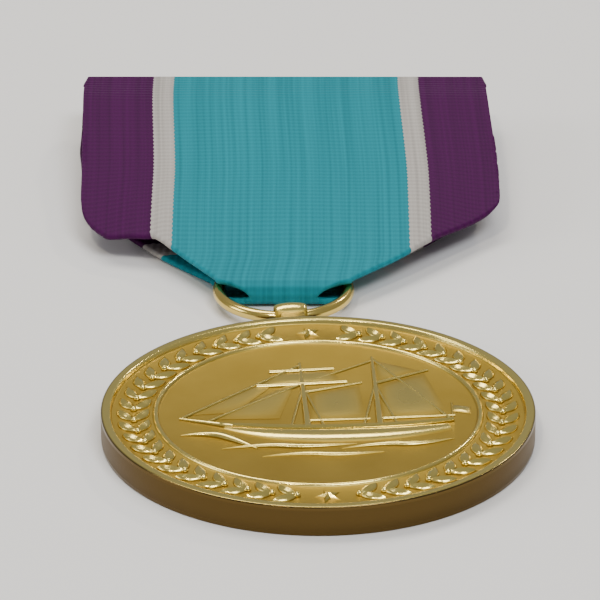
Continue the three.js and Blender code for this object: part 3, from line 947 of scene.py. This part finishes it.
back_rows = [(y, back_height(y)) for y in np.linspace(BACK_END_Y, FOLD_BOTTOM_Y, 116)]
bottom_rows = half_turn(FOLD_BOTTOM_Y, BACK_LOW_Z, FRONT_LOW_Z, -1, 16)
front_steps = [
    *np.linspace(FOLD_BOTTOM_Y, 7, 24),
    *np.linspace(7, 9.6, 27)[1:],
    *np.linspace(9.6, TOP_Y, 92)[1:],
]
front_rows = [(y, front_height(y)) for y in front_steps]
top_rows = half_turn(TOP_Y, TUCK_Z, FRONT_HIGH_Z, 1, 12)[::-1]
tuck_rows = [(y, TUCK_Z) for y in np.linspace(TOP_Y, TUCK_END_Y, 14)]
path = back_rows + bottom_rows[1:] + front_rows[1:] + top_rows[1:] + tuck_rows[1:]
kinds = (["back"] * len(back_rows) + ["turn"] * (len(bottom_rows) - 1) + ["front"] * (len(front_rows) - 1)
         + ["top"] * (len(top_rows) - 1) + ["tuck"] * (len(tuck_rows) - 1))
lengths = [0.0]
for (y0, z0), (y1, z1) in zip(path, path[1:]):
    lengths.append(lengths[-1] + math.hypot(y1 - y0, z1 - z0))

# %% [markdown]
# The creases run from the ribbon's edges down to the ring at about 45 degrees. Where
# the strip turns round the ring it is gathered a little more, to pass through it.
# The front's left crease is steeper near the ring, and the back layer is folded
# higher and narrower than the front, so the front hides most of it.

# %% Where the creases are
FRONT_CORNER_Y, BACK_CORNER_Y = 13.5, 16.8
FRONT_WAIST_X, BACK_WAIST_X = 5.4, 5.4
FRONT_WAIST_Y, BACK_WAIST_Y = 0.3, 3.6
GATHER = 2.3                # narrower by this in the middle of the turn round the ring
FOLD_RADIUS = 0.15          # half of the step from the panel down to its flap
STEEPEST_FLAP = 0.9         # where the crease curves more than this, the flap keeps this direction


def soft_limit(value, limit, rounding):
    gap = value - limit
    return limit + (gap - math.sqrt(gap * gap + rounding ** 2)) / 2


def crease_half_width(y, layer, side):
    """The panel's half width: the slanting crease, or the ribbon's own edge, blended softly."""
    edge = HALF_WIDTH - (0.45 * ease((26 - y) / 6) if layer == "back" else 0.0)
    if layer == "back":
        slope = (HALF_WIDTH - BACK_WAIST_X) / (BACK_CORNER_Y - BACK_WAIST_Y)
        above = y - BACK_WAIST_Y
        return soft_limit(BACK_WAIST_X + slope * max(above, 0.0) + 0.25 * min(above, 0.0), edge, 0.45)
    above = y - FRONT_WAIST_Y
    slope = (HALF_WIDTH - FRONT_WAIST_X) / (FRONT_CORNER_Y - FRONT_WAIST_Y)
    if side > 0:
        return soft_limit(FRONT_WAIST_X + slope * max(above, 0.0) + 0.25 * min(above, 0.0), edge, 0.5)
    rolled = 3.2 * ease((y - 7.3) / 1.3)
    return soft_limit(FRONT_WAIST_X + 0.8 * max(above, 0.0) + 0.25 * min(above, 0.0) + rolled, edge, 1.15)


def sideways_drift(y, kind):
    """The front's lower half has been pushed to the right, and the back's a little to the left."""
    if kind == "back":
        return -0.45 * ease((y - 1) / 3) * ease((13 - y) / 7)
    return 0.5 * ease((y + 1) / 6) * ease((34 - y) / 18)


def front_waves(x, y):
    """Cloth is never flat: two long shallow waves, and a slight twist."""
    fade = ease((y - 1) / 7) * ease((36.5 - y) / 7)
    long_wave = 0.34 * math.sin((y - 6.0) * 2 * math.pi / 21.0 + 0.02 * x)
    twist = 0.08 * math.sin(y * 0.35 + x * 0.13) + 0.05 * math.sin(x * 0.42 + y * 0.11)
    return fade * (long_wave + twist)


def corner_droop(x, y):
    """The lower corners roll down towards the table: the left one further, from its white stripe on."""
    low = ease((23 - y) / 14)
    if x < 0:
        return low * (0.45 * ease((-x - 9.6) / 2.0) + 0.9 * ease((-x - 11) / 6.0))
    return low * 1.35 * ease((x - 10.5) / 6.5)


def layer_height(x, y, z, kind):
    if kind == "front":
        return z + front_waves(x, y) - corner_droop(x, y)
    return z


# %% [markdown]
# A row has these points, from left to right: a flap, a small half circle round the
# crease, the visible panel, another half circle and another flap. Above the
# corners there is no crease, so the flap and the half circle shrink to nothing there
# and are merged away.

# %% Fold the strip
FLAP_COLUMNS = 8
TURN_COLUMNS = 5
PANEL_COLUMNS = 64
columns = 2 * (FLAP_COLUMNS + TURN_COLUMNS) + PANEL_COLUMNS
rows = len(path) - 1

bpy.ops.mesh.primitive_grid_add(x_subdivisions=columns, y_subdivisions=rows, size=2)
drape = new_piece("folded_ribbon")
flat_map = drape.data.uv_layers[0]
flat_map.name = FLAT_MAP


def folded_point(column, row):
    """Where folding puts one point, and where it is on the flat strip."""
    y, z = path[row]
    kind = kinds[row]
    side = -1 if column < columns / 2 else 1
    half = crease_half_width(y, kind, side)
    width_rate = (crease_half_width(y + 0.05, kind, side) - crease_half_width(y - 0.05, kind, side)) / 0.1
    if kind in ("top", "tuck") or y > 24:
        half, width_rate = HALF_WIDTH - 0.38 * ease((y - TOP_Y + 2.4) / 3.2), 0.0
    if kind == "turn":
        turned = (z - BACK_LOW_Z) / (FRONT_LOW_Z - BACK_LOW_Z)
        from_back = crease_half_width(FOLD_BOTTOM_Y, "back", side)
        to_front = crease_half_width(FOLD_BOTTOM_Y, "front", side)
        gathered = GATHER * math.sqrt(max(4 * turned * (1 - turned), 0.0))
        half = from_back + (to_front - from_back) * ease(turned) - gathered
        width_rate = 0.0
    flap_length = HALF_WIDTH - half
    drift = sideways_drift(y, kind)
    from_edge = column if side < 0 else columns - column
    panel_step = from_edge - FLAP_COLUMNS - TURN_COLUMNS
    if panel_step >= 0:
        share = (column - FLAP_COLUMNS - TURN_COLUMNS) / PANEL_COLUMNS * 2 - 1
        x = share * half       # half differs left and right, but the middle column stays in the middle
        shown_x = x + drift
        return (shown_x, y, layer_height(shown_x, y, z, kind)), x
    crease_x = side * half + drift
    crease_z = layer_height(crease_x, y, z, kind)
    inner = -1 if kind in ("front", "top", "tuck") else 1
    reach = FOLD_RADIUS * min(max(flap_length / 1.2, 0.0), 1.0)
    length = math.hypot(1.0, width_rate)
    out_x, out_y = side / length, -width_rate / length
    turn_step = -panel_step
    if kind == "turn":
        inner = (MID_Z - z) / max(abs(FRONT_LOW_Z - MID_Z), 0.01)
    if turn_step <= TURN_COLUMNS:
        angle = math.pi * turn_step / TURN_COLUMNS
        across = reach * math.sin(angle)
        under = reach * (1 - math.cos(angle))
        inward_y = 0.0
        if kind == "turn":
            inward_y = under * math.sqrt(max(1 - inner * inner, 0.0))
        return ((crease_x + out_x * across, y + out_y * across + inward_y, crease_z + inner * under),
                side * (half + 0.5 * reach * angle))
    along_flap = (turn_step - TURN_COLUMNS) / FLAP_COLUMNS * flap_length
    flap_rate = min(width_rate, STEEPEST_FLAP)
    squared = 1 + flap_rate * flap_rate
    flap_x = side * (2 * flap_rate * flap_rate / squared - 1)
    flap_y = 2 * flap_rate / squared
    place_x = crease_x + flap_x * along_flap
    place_y = y + flap_y * along_flap
    base_z = front_height(place_y) if kind == "front" else back_height(place_y)
    under_z = layer_height(place_x, place_y, base_z, kind) + inner * 2 * reach
    return (place_x, place_y, under_z), side * (half + along_flap)


flat_x = {}
for vertex in drape.data.vertices:
    column = round((vertex.co.x + 1) / 2 * columns)
    row = round((vertex.co.y + 1) / 2 * rows)
    vertex.co, across = folded_point(column, row)
    flat_x[vertex.index] = (across + HALF_WIDTH, lengths[row])
for loop in drape.data.loops:
    flat_map.data[loop.index].uv = flat_x[loop.vertex_index]
print("points in the strip", len(drape.data.vertices))

# %% [markdown]
# Round the ring the flaps would be squashed into a wad that nobody sees, so the strip
# keeps only its rounded edges there. Then the points that coincide are merged and
# the cloth gets its thickness.

# %% Trim, merge and thicken the strip
in_edit_mode(drape)
for face in drape.data.polygons:
    index = face.index
    row, column = divmod(index, columns)
    in_flap = column < FLAP_COLUMNS or column >= columns - FLAP_COLUMNS
    waist_y = BACK_WAIST_Y if kinds[row] == "back" else FRONT_WAIST_Y
    face.select = bool(in_flap and path[row][0] < waist_y + 0.6)
bpy.ops.object.mode_set(mode="EDIT")
bpy.ops.mesh.delete(type="FACE")
bpy.ops.mesh.select_all(action="SELECT")
bpy.ops.mesh.remove_doubles(threshold=0.004)
bpy.ops.mesh.normals_make_consistent(inside=False)
leave_edit_mode()
apply_modifier(drape, "SOLIDIFY", thickness=CLOTH_THICKNESS, offset=0.0, use_even_offset=False)
select_only(drape)
bpy.ops.object.shade_smooth_by_angle(angle=math.radians(60))
set_in_frame(drape)
hand_over(drape, "ribbon", "drape", ribbed_rayon)

# %% [markdown]
# ## Tack stitches
# The two folded corners would open again, so each is held at the back by a few
# stitches through the flap. A stitch is a short bridge of thread: it comes out of the
# cloth, lies on it, and goes back in. One is drawn as a bent row of a thin
# cylinder's segments, and four copies lie side by side.

# %% One stitch and its copies
TACK_X, TACK_Y = 9.6, (local_box("tack_stitch_left")[0].y + local_box("tack_stitch_left")[1].y) / 2
STITCH_LENGTH = 2.1
STITCH_RADIUS = 0.13
STITCHES = 4


def stitch(name):
    bpy.ops.mesh.primitive_cylinder_add(vertices=10, radius=STITCH_RADIUS, depth=STITCH_LENGTH)
    piece = new_piece(name)
    choose_faces(piece, lambda face: abs(face.normal.z) < 0.5)
    bpy.ops.mesh.subdivide(number_cuts=8)
    leave_edit_mode()
    for vertex in piece.data.vertices:
        x, y, z = vertex.co
        share = 2 * z / STITCH_LENGTH
        vertex.co = (z, y, x + 0.10 - 0.24 * share ** 4)
    return piece


def tack(side):
    name = "left" if side < 0 else "right"
    bundle = [stitch("thread_" + name)]
    for number in range(1, STITCHES):
        bundle.append(copy_of(bundle[0], "thread_copy"))
    for number, thread in enumerate(bundle):
        across = (number - (STITCHES - 1) / 2) * 2.1 * STITCH_RADIUS
        turn = 0.05 * math.sin(2.4 * number + side)
        slant = Matrix.Rotation(side * math.radians(-45), 4, "Z")
        place = Matrix.Translation((side * TACK_X, TACK_Y, tack_height)) @ slant
        askew = Matrix.Translation((0.12 * turn, across, 0)) @ Matrix.Rotation(turn, 4, "Z")
        thread.matrix_world = place @ askew
    joined = join_into(bundle[0], bundle[1:])
    joined.name = "tack_thread_" + name
    bpy.ops.object.transform_apply(location=True, rotation=True, scale=True)
    bpy.ops.object.mode_set(mode="EDIT")
    bpy.ops.mesh.select_all(action="SELECT")
    bpy.ops.mesh.normals_make_consistent(inside=False)
    leave_edit_mode()
    smooth(joined, 60)
    set_in_frame(joined)
    hand_over(joined, "tack_stitch_" + name, "drape", twisted_thread)


tack_height = back_height(TACK_Y) - CLOTH_THICKNESS / 2 - STITCH_RADIUS * 0.5
for tack_side in (-1, 1):
    tack(tack_side)

# %% [markdown]
# ## The brooch
# Nothing of the brooch shows from the front. It is a pressed brass bar inside the
# ribbon's top fold, with a clamp plate riveted behind it, and the plate carries a
# safety pin. The bar is a strip whose long edges are rounded, so it starts as a box
# and gets a wide bevel.

# %% Bar and clamp plate
axle_low, axle_high = local_box("hinge_rivet")
RIVET_X = local_box("rivet_right")[0].x + 1.15
BROOCH_Y = (axle_low.y + axle_high.y) / 2
print("centre line of the pin at y", round(BROOCH_Y, 2), "rivets at x", round(RIVET_X, 2))


def block(name, low, high):
    centre = [(a + b) / 2 for a, b in zip(low, high)]
    size = [b - a for a, b in zip(low, high)]
    bpy.ops.mesh.primitive_cube_add(size=1, location=centre, scale=size)
    return new_piece(name)


def rod_along(name, axis, radius, start, end, centre, sides=48):
    """A cylinder along one axis, from start to end, about a centre given on the other two."""
    turns = {"x": (0, math.pi / 2, 0), "y": (math.pi / 2, 0, 0), "z": (0, 0, 0)}
    place = {"x": ((start + end) / 2, centre[0], centre[1]),
             "y": (centre[0], (start + end) / 2, centre[1]),
             "z": (centre[0], centre[1], (start + end) / 2)}
    bpy.ops.mesh.primitive_cylinder_add(vertices=sides, radius=radius, depth=abs(end - start),
                                        location=place[axis], rotation=turns[axis])
    return new_piece(name)


bar = block("pressed_bar", bar_low, bar_high)
soften(bar, width=0.48, segments=6, angle=60)
for hole_x in (-RIVET_X, RIVET_X):
    combine(bar, rod_along("hole", "z", 0.66, 0, 6, (hole_x, BROOCH_Y)), "DIFFERENCE")
smooth(bar, 40)
set_in_frame(bar)
hand_over(bar, "brooch_bar", "drape", pressed_brass)

# %% [markdown]
# The clamp plate was stamped from sheet: its corners are rounded, the die left a
# shallow sunk panel with a raised border, and the sheared edges are slightly soft.

# %% Clamp plate
plate = block("clamp_sheet", plate_low, plate_high)
in_edit_mode(plate, "EDGE")
for edge in plate.data.edges:
    a, b = (plate.data.vertices[i].co for i in edge.vertices)
    edge.select = abs(a.z - b.z) > 0.1
bpy.ops.object.mode_set(mode="EDIT")
bpy.ops.mesh.bevel(offset=0.8, segments=6)
leave_edit_mode()
choose_faces(plate, lambda face: face.normal.z < -0.9)
bpy.ops.mesh.inset(thickness=0.55)
bpy.ops.mesh.inset(thickness=0.16)
bpy.ops.transform.translate(value=(0, 0, 0.14))
leave_edit_mode()
for hole_x in (-RIVET_X, RIVET_X):
    combine(plate, rod_along("hole", "z", 0.66, 0, 6, (hole_x, BROOCH_Y)), "DIFFERENCE")
soften(plate, width=0.07, segments=2, angle=30)
smooth(plate, 40)
set_in_frame(plate)
hand_over(plate, "clamp_plate", "drape", pressed_brass)

# %% [markdown]
# A rivet's head is domed by the setting punch. Seen on edge it is a few lines, so it is
# drawn as a profile and spun round its own axis.


# %% Spun pieces
def spun(name, profile, axis="z", centre=(0, 0, 0), steps=48):
    """Spin a closed profile of (radius, height) points round the z axis, then lay it along an axis."""
    bpy.ops.mesh.primitive_plane_add(size=1)
    piece = new_piece(name)
    in_edit_mode(piece, "VERT")
    bpy.ops.object.mode_set(mode="EDIT")
    bpy.ops.mesh.select_all(action="SELECT")
    bpy.ops.mesh.merge(type="CENTER")
    leave_edit_mode()
    piece.data.vertices[0].co = (profile[0][0], 0, profile[0][1])
    piece.data.vertices[0].select = True
    bpy.ops.object.mode_set(mode="EDIT")
    for (r0, h0), (r1, h1) in zip(profile, profile[1:]):
        bpy.ops.mesh.extrude_region_move(TRANSFORM_OT_translate={"value": (r1 - r0, 0, h1 - h0)})
    bpy.ops.mesh.select_all(action="SELECT")
    bpy.ops.mesh.spin(steps=steps, angle=2 * math.pi, center=(0, 0, 0), axis=(0, 0, 1))
    bpy.ops.mesh.select_all(action="SELECT")
    bpy.ops.mesh.remove_doubles(threshold=0.0005)
    bpy.ops.mesh.normals_make_consistent(inside=False)
    leave_edit_mode()
    turns = {"z": Matrix.Identity(4), "-z": Matrix.Rotation(math.pi, 4, "X"),
             "y": Matrix.Rotation(-math.pi / 2, 4, "X"), "-x": Matrix.Rotation(-math.pi / 2, 4, "Y")}
    piece.matrix_world = Matrix.Translation(centre) @ turns[axis]
    select_only(piece)
    bpy.ops.object.transform_apply(location=True, rotation=True, scale=True)
    return piece


RIVET_RADIUS, RIVET_HEAD, HEAD_HEIGHT = 0.6, 1.15, 0.4
RIVET_UNDER, RIVET_END = 2.45, 4.5
dome = [(RIVET_HEAD * math.sin(a), RIVET_UNDER - 0.08 - (HEAD_HEIGHT - 0.08) * math.cos(a))
        for a in (math.pi / 2 * k / 8 for k in range(9))]
rivet_profile = dome + [
    (RIVET_HEAD, RIVET_UNDER - 0.02), (RIVET_HEAD - 0.02, RIVET_UNDER), (RIVET_RADIUS, RIVET_UNDER),
    (RIVET_RADIUS, RIVET_END - 0.1), (RIVET_RADIUS - 0.1, RIVET_END), (0, RIVET_END),
]
left_rivet = spun("plate_rivet_left", rivet_profile, centre=(-RIVET_X, BROOCH_Y, 0))
right_rivet = copy_of(left_rivet, "plate_rivet_right")
right_rivet.data.transform(Matrix.Translation((2 * RIVET_X, 0, 0)))
for piece, node in ((left_rivet, "rivet_left"), (right_rivet, "rivet_right")):
    smooth(piece, 45)
    set_in_frame(piece)
    hand_over(piece, node, "drape", pressed_brass)

# %% [markdown]
# ## Hinge, pin and catch
# The hinge is a strip folded up into two ears, with a rivet through both. Base and ears
# are joined, the bore is cut, and a small bevel gives the sheared edges a highlight.

# %% Hinge bracket and its rivet
PIN_Z = 1.25
MOUNT_Z = 2.45
HINGE_X = 12.6
EAR_RADIUS, EAR_THICKNESS, EAR_GAP = 1.05, 0.45, 1.2
EAR_REACH = EAR_GAP / 2 + EAR_THICKNESS

bracket = block("hinge_ears", (HINGE_X - EAR_RADIUS, BROOCH_Y - EAR_REACH, MOUNT_Z - 0.3),
                (HINGE_X + EAR_RADIUS + 0.8, BROOCH_Y + EAR_REACH, MOUNT_Z))
for ear_side in (-1, 1):
    near, far = (BROOCH_Y + ear_side * reach for reach in (EAR_GAP / 2, EAR_REACH))
    ear = rod_along("ear", "y", EAR_RADIUS, near, far, (HINGE_X, PIN_Z), sides=64)
    web = block(
        "web", (HINGE_X - EAR_RADIUS, min(near, far), PIN_Z),
        (HINGE_X + EAR_RADIUS, max(near, far), MOUNT_Z - 0.1))
    combine(ear, web, "UNION")
    combine(bracket, ear, "UNION")
combine(bracket, rod_along("bore", "y", 0.4, BROOCH_Y - 4, BROOCH_Y + 4, (HINGE_X, PIN_Z)), "DIFFERENCE")
soften(bracket, width=0.06, segments=2, angle=35)
smooth(bracket, 40)
set_in_frame(bracket)
hand_over(bracket, "hinge_bracket", "drape", pressed_brass)

AXLE_RADIUS, AXLE_HEAD, AXLE_HEAD_HEIGHT = 0.38, 0.7, 0.35
shank = EAR_REACH + 0.05
half_profile = [(AXLE_RADIUS, shank), (AXLE_HEAD - 0.03, shank), (AXLE_HEAD, shank + 0.03)]
half_profile += [(AXLE_HEAD * math.cos(a), shank + 0.05 + (AXLE_HEAD_HEIGHT - 0.05) * math.sin(a))
                 for a in (math.pi / 2 * k / 6 for k in range(7))]
axle_profile = [(r, -h) for r, h in reversed(half_profile)] + half_profile
axle = spun("hinge_axle", axle_profile, axis="y", centre=(HINGE_X, BROOCH_Y, PIN_Z))
smooth(axle, 45)
set_in_frame(axle)
hand_over(axle, "hinge_rivet", "drape", pressed_brass)

# %% [markdown]
# The pin is one hard wire. Its end was flattened and pierced for the hinge, and the
# other end was ground to a long point with a slightly rounded tip. A spun profile
# gives the wire and its point, and the pierced eye is joined to it.

# %% Pin
PIN_TIP_X = -14.2
PIN_RADIUS = 0.38
POINT_LENGTH = 3.2
EYE_RADIUS, EYE_THICKNESS = 0.85, 1.0
pin_length = HINGE_X - PIN_TIP_X
taper = [(PIN_RADIUS * (1 - 0.93 * k / 12) ** 0.8, pin_length - POINT_LENGTH + (POINT_LENGTH - 0.06) * k / 12)
         for k in range(13)]
shank = [(0, 0.62), (PIN_RADIUS, 0.62), (PIN_RADIUS, pin_length - POINT_LENGTH - 0.4)]
wire_profile = shank + taper + [(0, pin_length)]
pin = spun("pin_wire", wire_profile, axis="-x", centre=(HINGE_X, BROOCH_Y, PIN_Z), steps=32)
eye = rod_along(
    "eye", "y", EYE_RADIUS, BROOCH_Y - EYE_THICKNESS / 2, BROOCH_Y + EYE_THICKNESS / 2,
    (HINGE_X, PIN_Z), sides=64)
soften(eye, width=0.14, segments=3, angle=60)
combine(pin, eye, "UNION")
combine(pin, rod_along("bore", "y", 0.42, BROOCH_Y - 2, BROOCH_Y + 2, (HINGE_X, PIN_Z)), "DIFFERENCE")
smooth(pin, 40)
set_in_frame(pin)
hand_over(pin, "pin_stem", "pin", plated_steel)

# %% [markdown]
# The catch has two cheeks, each a ring with a slot that opens downwards, in a frame
# with two side walls. A sleeve of the same section turns inside it. With
# its slot down the pin can drop out. Turned by its thumb tab it closes the slot.

# %% Slotted rings
CATCH_X = -12.2
CHEEK_RADIUS, CHEEK_BORE, CHEEK_THICKNESS, CHEEK_SPACING = 1.2, 0.86, 0.6, 1.7
SLEEVE_BORE, SLEEVE_JOURNAL, SLEEVE_BODY = 0.52, 0.8, 1.14
SLOT_WIDTH = 0.9


def slotted_ring(name, outer, inner, x0, x1):
    piece = rod_along(name, "x", outer, x0, x1, (BROOCH_Y, PIN_Z), sides=72)
    combine(piece, rod_along("bore", "x", inner, x0 - 1, x1 + 1, (BROOCH_Y, PIN_Z), sides=64), "DIFFERENCE")
    slot = block(
        "slot", (x0 - 1, BROOCH_Y - SLOT_WIDTH / 2, PIN_Z - outer - 1),
        (x1 + 1, BROOCH_Y + SLOT_WIDTH / 2, PIN_Z))
    combine(piece, slot, "DIFFERENCE")
    return piece


# %% Catch frame
cheek_in, cheek_out = CHEEK_SPACING / 2, CHEEK_SPACING / 2 + CHEEK_THICKNESS
wall_in, wall_out, wall_low = SLEEVE_BODY + 0.12, SLEEVE_BODY + 0.47, PIN_Z + 0.35
catch = None
for x0, x1 in ((CATCH_X - cheek_out, CATCH_X - cheek_in), (CATCH_X + cheek_in, CATCH_X + cheek_out)):
    cheek = slotted_ring("cheek", CHEEK_RADIUS, CHEEK_BORE, x0, x1)
    web = block(
        "web", (x0, BROOCH_Y - 0.9, PIN_Z + CHEEK_BORE + 0.05), (x1, BROOCH_Y + 0.9, MOUNT_Z))
    combine(cheek, web, "UNION")
    for wall_side in (-1, 1):
        inner_y = BROOCH_Y + wall_side * (CHEEK_BORE - 0.05)
        outer_y = BROOCH_Y + wall_side * (wall_out - 0.05)
        y0, y1 = sorted((inner_y, outer_y))
        combine(cheek, block("tie", (x0, y0, wall_low), (x1, y1, MOUNT_Z)), "UNION")
    if catch is None:
        catch = cheek
    else:
        combine(catch, cheek, "UNION")
for wall_side in (-1, 1):
    y0, y1 = sorted((BROOCH_Y + wall_side * wall_in, BROOCH_Y + wall_side * wall_out))
    wall = block(
        "wall", (CATCH_X - cheek_out, y0, wall_low), (CATCH_X + cheek_out, y1, MOUNT_Z))
    combine(catch, wall, "UNION")
catch.name = "catch_frame"
soften(catch, width=0.05, segments=2, angle=40)
smooth(catch, 40)
set_in_frame(catch)
hand_over(catch, "catch_base", "drape", pressed_brass)

# %% Turning sleeve with its thumb tab
sleeve = slotted_ring("turning_sleeve", SLEEVE_JOURNAL, SLEEVE_BORE, CATCH_X - cheek_out, CATCH_X + cheek_out)
body_half = cheek_in - 0.08
barrel = slotted_ring("body", SLEEVE_BODY, SLEEVE_BORE, CATCH_X - body_half, CATCH_X + body_half)
combine(sleeve, barrel, "UNION")
TAB_REACH, TAB_WIDTH, TAB_THICKNESS = 1.7, 1.0, 0.3
TAB_ANGLE = math.radians(-150)
tab = block(
    "tab", (-TAB_WIDTH / 2, SLEEVE_JOURNAL, -TAB_THICKNESS / 2),
    (TAB_WIDTH / 2, TAB_REACH, TAB_THICKNESS / 2))
soften(tab, width=0.1, segments=2, angle=60)
tab.matrix_world = Matrix.Translation((CATCH_X, BROOCH_Y, PIN_Z)) @ Matrix.Rotation(TAB_ANGLE, 4, "X")
select_only(tab)
bpy.ops.object.transform_apply(location=True, rotation=True, scale=True)
combine(sleeve, tab, "UNION")
soften(sleeve, width=0.05, segments=2, angle=40)
smooth(sleeve, 40)
set_in_frame(sleeve)
hand_over(sleeve, "catch_sleeve", "safety_sleeve", plated_steel)

# %% [markdown]
# ## Sizes
# The finished pieces have to fill the measured model's box and stay inside it. Both boxes
# are printed, one under the other.

# %% Sizes, and the end
visual_box = [list(corner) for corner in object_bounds()]
for name, box in (("measured model", cad_box), ("finished pieces", visual_box)):
    print(name, [[round(v * 1000, 2) for v in corner] for corner in box])
